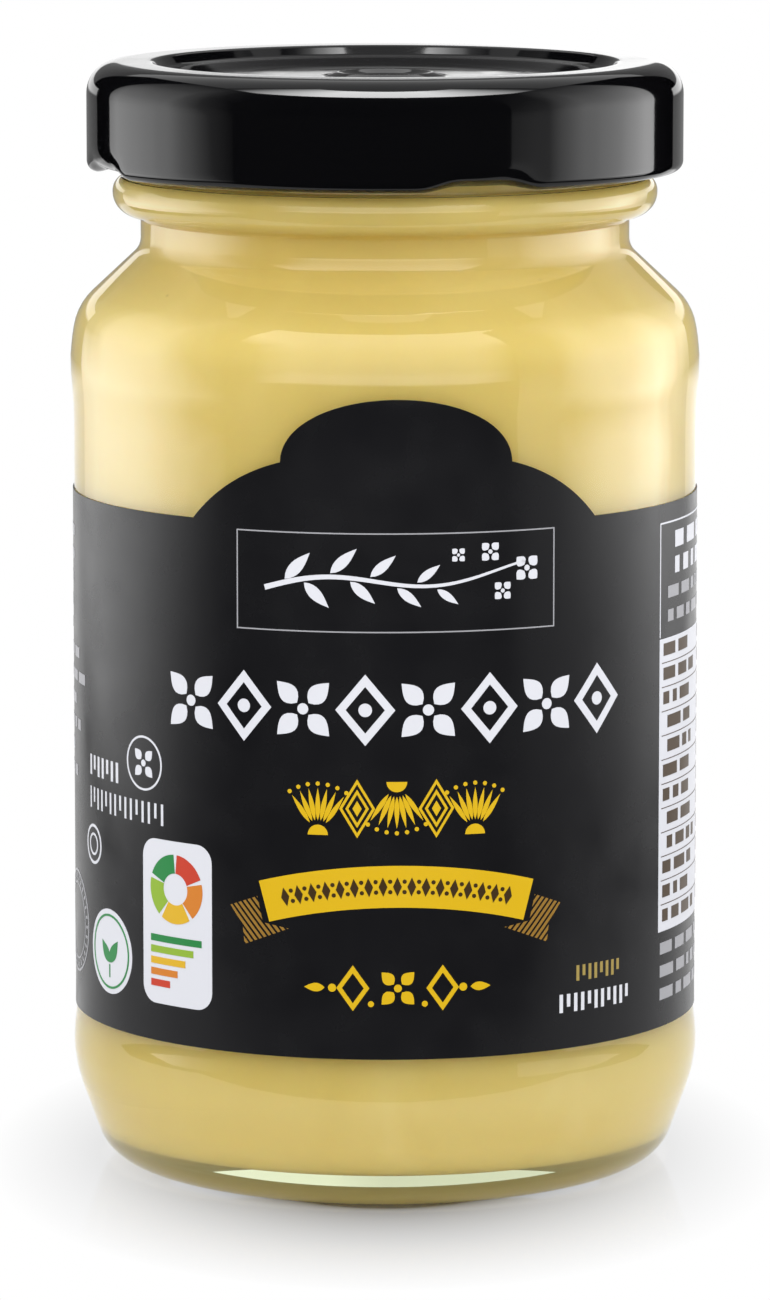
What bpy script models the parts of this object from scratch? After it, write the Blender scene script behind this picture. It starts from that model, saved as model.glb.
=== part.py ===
"""A 200 g jar of mustard: clear glass, a black twist-off lid and a black wrap label.

Metres, +Z up. The origin is the middle of the base, on the surface the jar stands on,
and the front of the label faces -Y. Lengths below are in millimetres, angles in degrees.
"""
from math import cos, pi, radians, sin, sqrt, tan

import bmesh
import bpy
from mathutils import Matrix, Vector

MM = 0.001
GAP = 0.3                    # clearance between pieces that touch in the real jar

# The glass: a low cylinder with two contact rings that keep other jars off the label
BODY_RADIUS = 29.48          # over the contact rings
PANEL_RADIUS = 28.9          # the recessed panel that carries the label
PANEL_BOTTOM, PANEL_TOP = 14.2, 75.5
RING_STEP = 1.1              # height over which the panel steps out to a contact ring
LOWER_RING_BOTTOM = 9.6
SHOULDER_SLOPE = 47.0        # the shoulder's lean from the upright
SHOULDER_CORNER = (28.8, 80.6)
NECK_RADIUS = 22.8
BEAD_RADIUS = 25.4          # the ring of glass just under the lid
BEAD_BOTTOM, BEAD_TOP = 89.1, 92.8
FINISH_RADIUS = 24.4         # the threaded mouth, inside the lid
MOUTH_RADIUS = 21.6
GLASS_TOP = 102.6
FOOT_RADIUS = 26.2          # where the heel's slope would meet the floor
HEEL_FILLET = 4.0
PUSH_UP_RADIUS, PUSH_UP = 21.4, 1.9
BORE_RADIUS = 26.9           # inside of the body
BORE_FLOOR, BORE_FLOOR_RISE = 3.5, 1.6
BORE_SHOULDER = 79.4         # where the bore turns in under the shoulder
NECK_BORE = 21.8

# The four thread ramps on the mouth, which the lid's lugs hold on to
THREAD_RADIUS, THREAD_BEAD = 24.6, 0.9
THREAD_SPAN = 55.0
THREAD_HIGH, THREAD_LOW = 99.5, 97.3
THREAD_LEAD = 14.0           # angle from a lug to the low end of its ramp

# The mustard
FILL_LEVEL = 97.5

# The lid: pressed steel, with a raised rim, a dished panel and a curled lower edge
LID_RADIUS, LID_SHEET = 27.8, 0.45
LID_TOP, LID_BOTTOM = 103.4, 93.35
LID_SHOULDER = 2.9
RIM_INNER, RIM_WALL = 21.7, 0.9
PANEL_DROP, PANEL_DISH = 1.0, 0.25
BUTTON_RADIUS, BUTTON_WIDTH, BUTTON_RISE = 4.6, 1.0, 0.3
CURL_WIDTH, CURL_HEIGHT = 1.9, 1.9
LUGS = 4
LUG_ANGLE = 19.0             # the first lug, from the front towards +X
LUG_HALF_WIDTH, LUG_FLANK = 12.5, 8.0
LUG_PRESS, LUG_LIFT = 0.7, 0.5
LUG_REACH = 2.6              # how far up the skirt the pressed spots fade out

# The label: a thin band with a plaque top, its two ends meeting at the back
LABEL_RADIUS, LABEL_SHEET = 29.2, 0.15
LABEL_BOTTOM, LABEL_TOP = 14.7, 63.65
LABEL_CENTRE = 2.1           # the artwork is turned this far from the jar's front
LABEL_SEAM = 3.0             # bare glass between the two ends
PLAQUE_HALF, PLAQUE_KNEE, PLAQUE_KNEE_HEIGHT = 19.7, 10.7, 69.2
PLAQUE_BULGE = 0.8           # how far the plaque's flanks bow out of a straight line
PLAQUE_CREST = 75.05

TURN_STEPS = 48
LID_STEPS = 60

GLASS = ("clear_glass", (0.86, 0.90, 0.80), 0.02, 0.0, 1.0)
MUSTARD = ("mustard", (0.60, 0.43, 0.12), 0.45, 0.0, 0.0)
ENAMEL = ("black_enamel", (0.012, 0.012, 0.013), 0.08, 0.0, 0.0)
PAPER = ("black_label", (0.010, 0.010, 0.011), 0.25, 0.0, 0.0)


def start_over():
    """Removes whatever the scene holds."""
    for thing in list(bpy.data.objects):
        bpy.data.objects.remove(thing, do_unlink=True)


def new_collection(name):
    collection = bpy.data.collections.new(name)
    bpy.context.scene.collection.children.link(collection)
    return collection


def make_material(name, colour, roughness, metallic, transmission):
    material = bpy.data.materials.new(name)
    material.use_nodes = True
    shader = material.node_tree.nodes["Principled BSDF"]
    shader.inputs["Base Color"].default_value = (*colour, 1.0)
    shader.inputs["Roughness"].default_value = roughness
    shader.inputs["Metallic"].default_value = metallic
    shader.inputs["Transmission Weight"].default_value = transmission
    material.diffuse_color = (*colour, 1.0)
    return material


def rounded(corners, step=radians(32)):
    """An outline through (radius, height, fillet) corners, with an arc at each fillet."""
    outline = []
    for index, (radius, height, fillet) in enumerate(corners):
        corner = Vector((radius, height))
        if fillet == 0:
            outline.append(corner)
            continue
        back = (Vector(corners[index - 1][:2]) - corner).normalized()
        ahead = (Vector(corners[index + 1][:2]) - corner).normalized()
        turn = pi - back.angle(ahead)
        start = corner + back * fillet * tan(turn / 2)
        centre = corner + (back + ahead).normalized() * fillet / cos(turn / 2)
        side = 1 if back.x * ahead.y < back.y * ahead.x else -1
        count = max(1, round(turn / step))
        for k in range(count + 1):
            spin = Matrix.Rotation(side * turn * k / count, 2)
            outline.append(centre + spin @ (start - centre))
    return outline


def turned(name, outline, steps, collection):
    """Turns an outline about the Z axis. It runs down the outer side of the piece."""
    points = [(r * MM, 0.0, z * MM) for r, z in outline]
    edges = [(k, k + 1) for k in range(len(points) - 1)]
    mesh = bpy.data.meshes.new(name)
    mesh.from_pydata(points, edges, [])
    piece = bpy.data.objects.new(name, mesh)
    collection.objects.link(piece)
    screw = piece.modifiers.new("turn", "SCREW")
    screw.steps = screw.render_steps = steps
    screw.use_merge_vertices = True
    screw.merge_threshold = 0.00001
    return piece


def applied(piece, name, collection):
    """Replaces an object by a mesh of its evaluated shape, with no loose seams."""
    bpy.context.view_layer.update()
    evaluated = piece.evaluated_get(bpy.context.evaluated_depsgraph_get())
    mesh = bpy.data.meshes.new_from_object(evaluated)
    cleaner = bmesh.new()
    cleaner.from_mesh(mesh)
    bmesh.ops.remove_doubles(cleaner, verts=cleaner.verts, dist=0.000005)
    cleaner.to_mesh(mesh)
    cleaner.free()
    place = piece.matrix_world.copy()
    bpy.data.objects.remove(piece, do_unlink=True)
    whole = bpy.data.objects.new(name, mesh)
    whole.matrix_world = place
    collection.objects.link(whole)
    return whole


def finish(piece, material, sharp=35):
    piece.data.materials.clear()
    piece.data.materials.append(material)
    piece.data.shade_smooth()
    if piece.data.polygons:
        piece.data.set_sharp_from_angle(angle=radians(sharp))


def front_angle(degrees_from_front):
    """The angle about Z of a place given in degrees from the front towards +X."""
    return radians(degrees_from_front - 90)


def bore_outline(inset):
    """Corners of the jar's inside, from the floor's middle to the neck, moved in by inset."""
    lean = inset * tan(radians(SHOULDER_SLOPE) / 2)
    neck_height = BORE_SHOULDER + (BORE_RADIUS - NECK_BORE) / tan(radians(SHOULDER_SLOPE))
    wall = BORE_RADIUS - inset
    neck = NECK_BORE - inset
    return [
        (0, BORE_FLOOR + BORE_FLOOR_RISE + inset, 0),
        (0.6 * wall, BORE_FLOOR + 0.55 * BORE_FLOOR_RISE + inset, 12),
        (0.88 * wall, BORE_FLOOR + inset, 3),
        (wall, BORE_FLOOR + inset, 3.0 - inset),
        (wall, BORE_SHOULDER - lean, 5.0 - inset),
        (neck, neck_height - lean, 3.0 + inset),
    ]


def jar_outline():
    slope = tan(radians(SHOULDER_SLOPE))
    shoulder_radius, shoulder_height = SHOULDER_CORNER
    neck_height = shoulder_height + (shoulder_radius - NECK_RADIUS) / slope
    rim_fillet = (FINISH_RADIUS - MOUTH_RADIUS) / 2 - 0.05
    inside = bore_outline(0)
    mouth = [
        (MOUTH_RADIUS, GLASS_TOP - 5.0, 0),
        (MOUTH_RADIUS, GLASS_TOP, rim_fillet),
        (FINISH_RADIUS, GLASS_TOP, rim_fillet),
    ]
    bead = [
        (FINISH_RADIUS, BEAD_TOP, 0.4),
        (BEAD_RADIUS, BEAD_TOP - 0.4, 1.1),
        (BEAD_RADIUS, BEAD_BOTTOM + 0.35, 1.6),
        (NECK_RADIUS, BEAD_BOTTOM, 0.3),
    ]
    body = [
        (NECK_RADIUS, neck_height, 2.0),
        (shoulder_radius, shoulder_height, 5.5),
        (BODY_RADIUS, PANEL_TOP + RING_STEP, 2),
        (PANEL_RADIUS, PANEL_TOP, 1),
        (PANEL_RADIUS, PANEL_BOTTOM, 1),
        (BODY_RADIUS, PANEL_BOTTOM - RING_STEP, 2),
        (BODY_RADIUS, LOWER_RING_BOTTOM, 6),
    ]
    base = [
        (FOOT_RADIUS, 0, HEEL_FILLET),
        (PUSH_UP_RADIUS, 0, 0.5),
        (PUSH_UP_RADIUS - 1.4, 0.55 * PUSH_UP, 2),
        (0, PUSH_UP, 0),
    ]
    return rounded(inside + mouth + bead + body + base)


def thread_ramp(index, collection):
    """One sloping ridge of glass, a piece of a helix with blunt ends sunk in the wall."""
    low_end = LUG_ANGLE + THREAD_LEAD + index * 360 / LUGS
    count = 7
    curve = bpy.data.curves.new("thread_ramp", "CURVE")
    curve.dimensions = "3D"
    curve.bevel_depth = THREAD_BEAD * MM
    curve.bevel_resolution = 2
    curve.use_fill_caps = True
    spline = curve.splines.new("POLY")
    spline.points.add(count - 1)
    for k, point in enumerate(spline.points):
        along = k / (count - 1)
        angle = front_angle(low_end + THREAD_SPAN * along)
        sunk = THREAD_BEAD * 0.9 * (2 * along - 1) ** 4
        radius = THREAD_RADIUS - sunk
        height = THREAD_LOW + (THREAD_HIGH - THREAD_LOW) * along
        point.co = (radius * cos(angle) * MM, radius * sin(angle) * MM, height * MM, 1)
    ramp = bpy.data.objects.new("thread_ramp", curve)
    collection.objects.link(ramp)
    ramp = applied(ramp, f"thread_ramp_{index + 1}", collection)
    ramp.hide_render = True
    ramp.display_type = "WIRE"


def make_jar(collection, material):
    ramps = new_collection("thread_ramps")
    for index in range(LUGS):
        thread_ramp(index, ramps)
    jar = turned("jar", jar_outline(), TURN_STEPS, collection)
    join = jar.modifiers.new("threads", "BOOLEAN")
    join.operation = "UNION"
    join.operand_type = "COLLECTION"
    join.collection = ramps
    finish(jar, material)


def make_mustard(collection, material):
    """The fill, up to a level that the lid's skirt hides."""
    top = [
        (0, FILL_LEVEL, 0),
        (MOUTH_RADIUS - GAP, FILL_LEVEL, 0),
    ]
    sides = bore_outline(GAP)[::-1]
    mustard = turned("mustard", rounded(top + sides), TURN_STEPS, collection)
    finish(mustard, material)


def lid_outline():
    floor = LID_TOP - PANEL_DROP
    middle = floor - PANEL_DISH
    inner = LID_RADIUS - LID_SHEET
    curl = LID_RADIUS - CURL_WIDTH
    curl_top = LID_BOTTOM + CURL_HEIGHT
    button = [
        (0, middle, 0),
        (BUTTON_RADIUS - BUTTON_WIDTH, middle, 0),
        (BUTTON_RADIUS, middle + BUTTON_RISE, 0),
        (BUTTON_RADIUS + BUTTON_WIDTH, middle, 0),
    ]
    rim = [
        (RIM_INNER - RIM_WALL, floor, 0.8),
        (RIM_INNER, LID_TOP, 0.5),
        (LID_RADIUS, LID_TOP, LID_SHOULDER),
    ]
    curled_edge = [
        (LID_RADIUS, LID_BOTTOM + LUG_REACH, 0),
        (LID_RADIUS, LID_BOTTOM, 0.9),
        (curl, LID_BOTTOM, 0.9),
        (curl, curl_top, 0.5),
        (inner, curl_top, 0),
    ]
    underside = [
        (inner, LID_TOP - LID_SHEET, LID_SHOULDER - LID_SHEET),
        (RIM_INNER + LID_SHEET / 2, LID_TOP - LID_SHEET, 0),
        (RIM_INNER - RIM_WALL + LID_SHEET / 2, floor - LID_SHEET, 0),
        (0, middle - LID_SHEET, 0),
    ]
    return rounded(button + rim + curled_edge + underside)


def lug_weight(angle, height):
    """1 at the middle of a pressed lug, fading to 0 at its ends and up the skirt."""
    pitch = 360 / LUGS
    away = abs((angle + pitch / 2) % pitch - pitch / 2)
    across = min(1, max(0, (LUG_HALF_WIDTH - away) / LUG_FLANK))
    up = min(1, max(0, (LID_BOTTOM + LUG_REACH - height) / (LUG_REACH - CURL_HEIGHT)))
    return across * across * (3 - 2 * across) * up


def make_lid(collection, material):
    """A turned lid whose curl is pressed inwards and up at four spots, the lugs."""
    lid = applied(turned("lid", lid_outline(), LID_STEPS, collection), "lid", collection)
    for vertex in lid.data.vertices:
        r = vertex.co.xy.length / MM
        z = vertex.co.z / MM
        if r < LID_RADIUS - CURL_WIDTH - GAP or z > LID_BOTTOM + LUG_REACH:
            continue
        angle = Vector((1, 0)).angle_signed(vertex.co.xy)
        weight = lug_weight(angle * 180 / pi, z)
        vertex.co.xy *= (r - LUG_PRESS * weight) / r
        vertex.co.z += LUG_LIFT * weight * MM
    lid.rotation_euler.z = front_angle(LUG_ANGLE)
    finish(lid, material)


def plaque_top(arc):
    """Height of the label's top edge at an arc length from the artwork's centre line."""
    away = abs(arc)
    if away >= PLAQUE_HALF:
        return LABEL_TOP
    if away <= PLAQUE_KNEE:
        dome = PLAQUE_CREST - PLAQUE_KNEE_HEIGHT
        return PLAQUE_KNEE_HEIGHT + dome * sqrt(1 - (away / PLAQUE_KNEE) ** 2)
    outer = Vector((PLAQUE_HALF, LABEL_TOP))
    knee = Vector((PLAQUE_KNEE, PLAQUE_KNEE_HEIGHT))
    chord = knee - outer
    bow = (chord.length / 2) ** 2 / (2 * PLAQUE_BULGE) + PLAQUE_BULGE / 2
    inward = Vector((-chord.y, chord.x)).normalized()
    centre = (outer + knee) / 2 + inward * (bow - PLAQUE_BULGE)
    return centre.y + sqrt(bow ** 2 - (away - centre.x) ** 2)


def label_columns():
    """Arc lengths of the label's upright lines, close together along the plaque."""
    half_wrap = pi * LABEL_RADIUS - LABEL_SEAM / 2
    dome = [PLAQUE_KNEE * sin(radians(a)) for a in range(0, 91, 10)]
    flank = [PLAQUE_KNEE + (PLAQUE_HALF - PLAQUE_KNEE) * k / 6 for k in range(1, 7)]
    rest = 26
    wrap = [PLAQUE_HALF + (half_wrap - PLAQUE_HALF) * k / rest for k in range(1, rest + 1)]
    right = dome + flank + wrap
    return [-arc for arc in right[:0:-1]] + right


def make_label(collection, material):
    """A flat strip cut to the plaque outline, rolled round the glass and thickened."""
    columns = label_columns()
    strip = bmesh.new()
    bmesh.ops.create_grid(strip, x_segments=len(columns) - 1, y_segments=1, size=1)
    width = len(columns) - 1
    for vertex in strip.verts:
        arc = columns[round((vertex.co.x + 1) / 2 * width)]
        height = plaque_top(arc) if vertex.co.y > 0 else LABEL_BOTTOM
        angle = front_angle(LABEL_CENTRE) + arc / LABEL_RADIUS
        radius = LABEL_RADIUS * MM
        vertex.co = (radius * cos(angle), radius * sin(angle), height * MM)
    bmesh.ops.recalc_face_normals(strip, faces=strip.faces)
    mesh = bpy.data.meshes.new("label")
    strip.to_mesh(mesh)
    strip.free()
    label = bpy.data.objects.new("label", mesh)
    collection.objects.link(label)
    thicken = label.modifiers.new("sheet", "SOLIDIFY")
    thicken.thickness = LABEL_SHEET * MM
    thicken.offset = 1.0
    thicken.use_even_offset = True
    finish(label, material)


def main():
    start_over()
    collection = new_collection("mustard_jar")
    make_jar(collection, make_material(*GLASS))
    make_mustard(collection, make_material(*MUSTARD))
    make_lid(collection, make_material(*ENAMEL))
    make_label(collection, make_material(*PAPER))


main()
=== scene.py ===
"""Looks of a shut jar of mustard: flint glass, pale paste, enamelled lid, printed label.

Shapes are worked out in millimetres and turned to metres when a mesh is made. Angles are
in degrees from the jar's front (-Y) towards +X. Print is drawn flat, as arc length from
the artwork's centre line and height, and then rolled round the glass.
"""

import random
from math import cos, pi, radians, sin, sqrt, tan

import bmesh
import bpy
import numpy as np
from mathutils import Matrix, Vector


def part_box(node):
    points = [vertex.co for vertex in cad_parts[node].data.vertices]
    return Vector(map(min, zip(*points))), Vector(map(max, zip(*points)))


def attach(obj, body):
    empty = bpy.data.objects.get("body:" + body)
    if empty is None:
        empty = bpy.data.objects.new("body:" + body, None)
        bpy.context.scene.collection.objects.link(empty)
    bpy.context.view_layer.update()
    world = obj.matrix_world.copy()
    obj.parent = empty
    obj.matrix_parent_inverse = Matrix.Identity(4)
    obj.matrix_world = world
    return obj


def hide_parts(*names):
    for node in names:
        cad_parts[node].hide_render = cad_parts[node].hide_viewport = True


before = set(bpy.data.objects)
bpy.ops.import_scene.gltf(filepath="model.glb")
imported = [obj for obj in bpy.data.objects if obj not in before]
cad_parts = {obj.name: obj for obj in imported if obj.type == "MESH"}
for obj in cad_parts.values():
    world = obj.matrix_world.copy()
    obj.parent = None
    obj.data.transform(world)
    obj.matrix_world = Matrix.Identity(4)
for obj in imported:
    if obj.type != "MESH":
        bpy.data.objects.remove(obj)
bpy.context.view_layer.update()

MM = 0.001

# Sizes read from the frame
BODY_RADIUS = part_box("jar")[1].x / MM            # over the glass's contact rings
GLASS_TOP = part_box("jar")[1].z / MM
LID_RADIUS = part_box("lid")[1].x / MM
LID_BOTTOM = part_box("lid")[0].z / MM
LID_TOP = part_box("lid")[1].z / MM
FILL_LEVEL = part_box("mustard")[1].z / MM
LABEL_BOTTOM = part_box("label")[0].z / MM
PLAQUE_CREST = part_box("label")[1].z / MM

# The glass
PANEL_RADIUS = BODY_RADIUS - 0.33                # the label's panel, between the rings
WALL = 1.75
SHOULDER_SLOPE = 47.0
NECK_RADIUS = 22.8
BEAD_RADIUS = 25.4
FINISH_RADIUS = 24.4
MOUTH_RADIUS = 21.6
NECK_BORE = 21.8
BORE_TURN = 79.4                                 # where the bore turns in under the shoulder
BORE_FLOOR = 3.5
FOOT_RADIUS = 26.2
PUSH_UP_RADIUS, PUSH_UP = 21.4, 1.9
SEAM_ANGLE = 15.5                                # the mould's parting line, and opposite
SEAM_RISE = 0.05
THREAD_LEAD, THREAD_SPAN = 14.0, 55.0            # from a lug to its ramp, and along the ramp
THREAD_LOW, THREAD_CLIMB, THREAD_RISE = 97.6, 2.2, 1.15
PASTE_REACH = 0.06                               # how far the paste goes into the glass

# The lid
LID_SHEET = 0.24
LID_SHOULDER = 2.9
LID_PANEL_DROP, LID_SAG = 1.0, 0.42
LUG_ANGLE, LUGS = 19.0, 4
LUG_HALF_WIDTH, LUG_FLANK = 12.5, 8.0
LUG_PRESS, LUG_LIFT, LUG_REACH = 0.7, 0.5, 2.6

# The label and its print
FILM = 0.13
INK = 0.022
LABEL_TOP = 63.65
LABEL_CENTRE = 2.1
LABEL_SEAM = 3.0
ART_RISE = LABEL_TOP - 62.75                     # the print's heights are given for a label up to 62.75
PLAQUE_HALF, PLAQUE_KNEE, PLAQUE_KNEE_HEIGHT, PLAQUE_BULGE = 19.7, 10.7, 69.2, 0.8

# The studio, in metres
KEY_RADIANCE = 2.1
FILL_RADIANCE = 3.1
FRONT_RADIANCE = 2.4
RIM_RADIANCE = 26.0
CEILING_RADIANCE = 0.9
UNDER_RADIANCE = 0.62
REAR_RADIANCE = 0.19
AMBIENT = 2.05
CARD_HEIGHT = 0.42
SIDE_AWAY = 0.22
SIDE_HEIGHTS = (0.0, 0.026, 0.040, 0.10, 0.15, 0.28, 0.45)
RING_AWAY = 0.17


def linear(code):
    """A linear colour with alpha from an sRGB hex code."""
    parts = [int(code[k:k + 2], 16) / 255 for k in (1, 3, 5)]
    return tuple(c / 12.92 if c <= 0.04045 else ((c + 0.055) / 1.055) ** 2.4 for c in parts) + (1,)


def add_node(tree, kind, settings=None, **inputs):
    """Adds a node. Settings are its properties; inputs are values, or sockets to link."""
    node = tree.nodes.new("ShaderNode" + kind)
    for name, value in (settings or {}).items():
        setattr(node, name, value)
    for name, value in inputs.items():
        socket = node.inputs[name.replace("_", " ")]
        if isinstance(value, bpy.types.NodeSocket):
            tree.links.new(value, socket)
        else:
            socket.default_value = value
    return node


def new_material(name, **inputs):
    """A material with one Principled BSDF. Returns it, its tree and the shader."""
    material = bpy.data.materials.new(name)
    material.use_nodes = True
    tree = material.node_tree
    shader = tree.nodes["Principled BSDF"]
    for key, value in inputs.items():
        shader.inputs[key.replace("_", " ")].default_value = value
    return material, tree, shader


# Finishes

def flint_glass():
    """Soda-lime flint glass, pressed and blown: clear, with green in its thick base."""
    material, tree, shader = new_material(
        "flint_glass", Base_Color=linear("#fbfdf9"), Roughness=0.0, IOR=1.52, Transmission_Weight=1.0)
    place = add_node(tree, "TexCoord").outputs["Object"]
    swell = add_node(tree, "TexNoise", Vector=place, Scale=1 / (14 * MM), Detail=1.0)
    bump = add_node(tree, "Bump", Height=swell.outputs["Fac"], Strength=0.12, Distance=0.4 * MM)
    tree.links.new(bump.outputs["Normal"], shader.inputs["Normal"])
    tint = add_node(tree, "VolumeAbsorption", Color=(0.76, 0.80, 0.56, 1), Density=28.0)
    tree.links.new(tint.outputs["Volume"], tree.nodes["Material Output"].inputs["Volume"])
    return material


def mustard_paste():
    """Smooth mustard paste pressed against glass: pale ochre, faint swirls, husk specks."""
    material, tree, shader = new_material(
        "mustard_paste", Roughness=0.55, IOR=1.40, Subsurface_Weight=0.25,
        Subsurface_Radius=(1.0, 0.7, 0.25), Subsurface_Scale=2.0 * MM)
    place = add_node(tree, "TexCoord").outputs["Object"]
    stretch = add_node(tree, "Mapping", Vector=place, Scale=(1.0, 1.0, 0.55))
    swirl = add_node(
        tree, "TexNoise", Vector=stretch.outputs["Vector"], Scale=1 / (16 * MM), Detail=3.0,
        Roughness=0.45, Distortion=0.8)
    body = add_node(tree, "ValToRGB", Fac=swirl.outputs["Fac"])
    tones = body.color_ramp.elements
    tones.new(0.5)
    stops = ((0.30, "#e6cc74"), (0.52, "#ead17c"), (0.72, "#eed78a"))
    for tone, (position, code) in zip(tones, stops):
        tone.position = position
        tone.color = linear(code)
    husk = add_node(tree, "TexVoronoi", Vector=place, Scale=1 / (3.4 * MM), Randomness=1.0)
    thin = add_node(tree, "TexNoise", Vector=place, Scale=1 / (5 * MM), Detail=1.0)
    reach = add_node(
        tree, "MapRange", Value=thin.outputs["Fac"], From_Min=0.48, From_Max=0.75, To_Min=0.0, To_Max=0.085)
    speck = add_node(
        tree, "MapRange", {"interpolation_type": "SMOOTHSTEP"}, Value=husk.outputs["Distance"],
        From_Min=0.0, From_Max=reach.outputs["Result"], To_Min=0.55, To_Max=0.0)
    mix = add_node(
        tree, "MixRGB", Fac=speck.outputs["Result"], Color1=body.outputs["Color"],
        Color2=linear("#8f7636"))
    tree.links.new(mix.outputs["Color"], shader.inputs["Base Color"])
    return material


def black_enamel():
    """Black enamel stoved on tinplate: a deep, mirror-like gloss with a little orange peel."""
    material, tree, shader = new_material(
        "black_enamel", Base_Color=linear("#050506"), IOR=1.50, Specular_IOR_Level=0.30)
    place = add_node(tree, "TexCoord").outputs["Object"]
    wear = add_node(tree, "TexNoise", Vector=place, Scale=1 / (6 * MM), Detail=3.0)
    rough = add_node(
        tree, "MapRange", Value=wear.outputs["Fac"], From_Min=0.3, From_Max=0.7, To_Min=0.035, To_Max=0.075)
    tree.links.new(rough.outputs["Result"], shader.inputs["Roughness"])
    peel = add_node(tree, "TexNoise", Vector=place, Scale=1 / (0.8 * MM), Detail=1.0)
    bump = add_node(tree, "Bump", Height=peel.outputs["Fac"], Strength=0.03, Distance=0.004 * MM)
    tree.links.new(bump.outputs["Normal"], shader.inputs["Normal"])
    return material


def printed_film(name, code, low, high):
    """Polypropylene label film: soft gloss, with the fine unevenness of print and glue."""
    material, tree, shader = new_material(
        name, Base_Color=linear(code), IOR=1.49, Specular_IOR_Level=0.20)
    place = add_node(tree, "TexCoord").outputs["Object"]
    cloud = add_node(tree, "TexNoise", Vector=place, Scale=1 / (5 * MM), Detail=4.0)
    rough = add_node(
        tree, "MapRange", Value=cloud.outputs["Fac"], From_Min=0.3, From_Max=0.7, To_Min=low, To_Max=high)
    tree.links.new(rough.outputs["Result"], shader.inputs["Roughness"])
    grain = add_node(tree, "TexNoise", Vector=place, Scale=1 / (0.35 * MM), Detail=2.0)
    bump = add_node(tree, "Bump", Height=grain.outputs["Fac"], Strength=0.12, Distance=0.01 * MM)
    tree.links.new(bump.outputs["Normal"], shader.inputs["Normal"])
    return material


def acrylic_floor():
    """A cast white acrylic sheet that mirrors what stands on it; it glows an even white away from the jar,
    and a darker oval round the jar is a painted shadow.
    """
    # The darker grey base of the lit sheet is part of the painted shadow round the jar.
    material, tree, shader = new_material(
        "acrylic_floor", Base_Color=linear("#76767a"), IOR=1.49, Specular_IOR_Level=0.3)
    place = add_node(tree, "TexCoord").outputs["Object"]
    haze = add_node(tree, "TexNoise", Vector=place, Scale=1 / (60 * MM), Detail=2.0)
    rough = add_node(
        tree, "MapRange", Value=haze.outputs["Fac"], From_Min=0.3, From_Max=0.7, To_Min=0.03, To_Max=0.05)
    tree.links.new(rough.outputs["Result"], shader.inputs["Roughness"])
    # Painted shadow: an oval round the jar, narrower to the sides, inside which the floor fades from the
    # white glow to the darker lit sheet.
    shadow_oval = add_node(tree, "Mapping", Vector=place, Scale=(1.5, 1.0, 1.0))
    distance = add_node(tree, "VectorMath", {"operation": "LENGTH"})
    tree.links.new(shadow_oval.outputs["Vector"], distance.inputs[0])
    sweep = add_node(
        tree, "MapRange", Value=distance.outputs["Value"], From_Min=0.025, From_Max=0.057,
        To_Min=0.0, To_Max=1.0)
    shadow_fade = add_node(tree, "Math", {"operation": "SQRT"})
    tree.links.new(sweep.outputs["Result"], shadow_fade.inputs[0])
    white_glow = add_node(tree, "Emission", Strength=1.0)
    painted_shadow_mix = add_node(tree, "MixShader", Fac=shadow_fade.outputs["Value"])
    tree.links.new(shader.outputs["BSDF"], painted_shadow_mix.inputs[1])
    tree.links.new(white_glow.outputs["Emission"], painted_shadow_mix.inputs[2])
    tree.links.new(painted_shadow_mix.outputs["Shader"], tree.nodes["Material Output"].inputs["Surface"])
    return material


def diffuser_glow():
    """Lit diffuser cloth. Each card holds its own radiance, which fades towards some edges."""
    material = bpy.data.materials.new("diffuser_glow")
    material.use_nodes = True
    tree = material.node_tree
    tree.nodes.remove(tree.nodes["Principled BSDF"])
    level = add_node(tree, "Attribute", {"attribute_name": "radiance"})
    light = add_node(tree, "Emission", Strength=level.outputs["Fac"])
    tree.links.new(light.outputs["Emission"], tree.nodes["Material Output"].inputs["Surface"])
    return material


# Making meshes

def rounded(corners, step=radians(7)):
    """An outline through (radius, height, fillet) corners, with an arc at each fillet."""
    outline = []
    for index, (radius, height, fillet) in enumerate(corners):
        corner = Vector((radius, height))
        if fillet == 0:
            outline.append(corner)
            continue
        back = (Vector(corners[index - 1][:2]) - corner).normalized()
        ahead = (Vector(corners[index + 1][:2]) - corner).normalized()
        bend = pi - back.angle(ahead)
        start = corner + back * fillet * tan(bend / 2)
        centre = corner + (back + ahead).normalized() * fillet / cos(bend / 2)
        side = 1 if back.x * ahead.y < back.y * ahead.x else -1
        count = max(2, round(bend / step))
        for k in range(count + 1):
            spin = Matrix.Rotation(side * bend * k / count, 2)
            outline.append(centre + spin @ (start - centre))
    return outline


def spaced(outline, longest):
    """The outline with its long straight stretches divided."""
    points = [outline[0]]
    for a, b in zip(outline, outline[1:]):
        count = max(1, round((b - a).length / longest))
        points += [a.lerp(b, k / count) for k in range(1, count + 1)]
    return points


def make_piece(name, vertices, faces, material, sharp=38):
    mesh = bpy.data.meshes.new(name)
    mesh.from_pydata([tuple(c * MM for c in v) for v in vertices], [], faces)
    mesh.materials.append(material)
    mesh.shade_smooth()
    mesh.set_sharp_from_angle(angle=radians(sharp))
    piece = bpy.data.objects.new(name, mesh)
    bpy.context.scene.collection.objects.link(piece)
    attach(piece, "root")
    return piece


def turned(outline, steps, relief=None, first=0.0):
    """Vertices and faces of an outline turned about Z. Relief moves a point (r, angle, z)."""
    vertices = []
    rings = []
    for r, z in outline:
        if r < 1e-6:
            rings.append([len(vertices)] * steps)
            vertices.append((0.0, 0.0, z))
            continue
        rings.append(list(range(len(vertices), len(vertices) + steps)))
        for k in range(steps):
            angle = first + 360 * k / steps
            radius, height = relief(r, angle, z) if relief else (r, z)
            turn = radians(angle - 90)
            vertices.append((radius * cos(turn), radius * sin(turn), height))
    faces = []
    for upper, lower in zip(rings, rings[1:]):
        for k in range(steps):
            j = (k + 1) % steps
            corners = [upper[k], lower[k], lower[j], upper[j]]
            faces.append(tuple(dict.fromkeys(corners)))
    return vertices, faces


# The glass jar

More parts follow.
